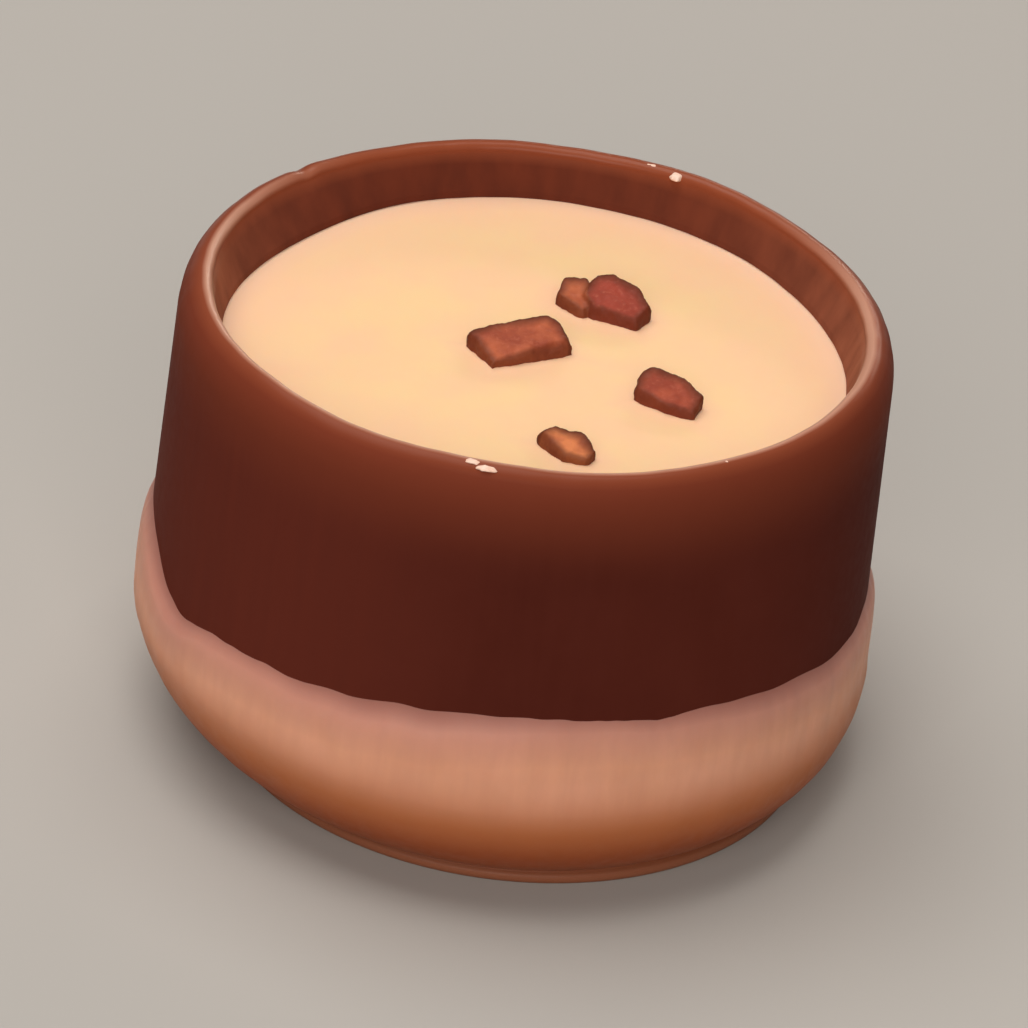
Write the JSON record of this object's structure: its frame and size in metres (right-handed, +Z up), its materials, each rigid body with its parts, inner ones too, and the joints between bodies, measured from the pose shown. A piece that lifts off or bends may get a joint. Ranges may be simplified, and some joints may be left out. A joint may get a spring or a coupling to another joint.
{
  "type": "filled chocolate cup",
  "caption": "Small round chocolate cup with its lower part dipped in pale chocolate, filled with set cream and topped with chopped chocolate pieces.",
  "frame": {"origin": "on the cup's axis, at the height of the surface the cup stands on", "axes": "+Z up along the cup's axis, -Y towards the side shown in the picture, +X to the right"},
  "size_m": [0.0316, 0.0318, 0.0206],
  "materials": {
    "milk_chocolate": "satin milk chocolate",
    "pale_chocolate": "satin pale chocolate with faint ripples",
    "cream": "smooth, soft satin set cream"
  },
  "bodies": {
    "root": {"chocolate_shell": "milk_chocolate", "pale_coat": "pale_chocolate", "cream_filling": "cream"}
  },
  "joints": []
}
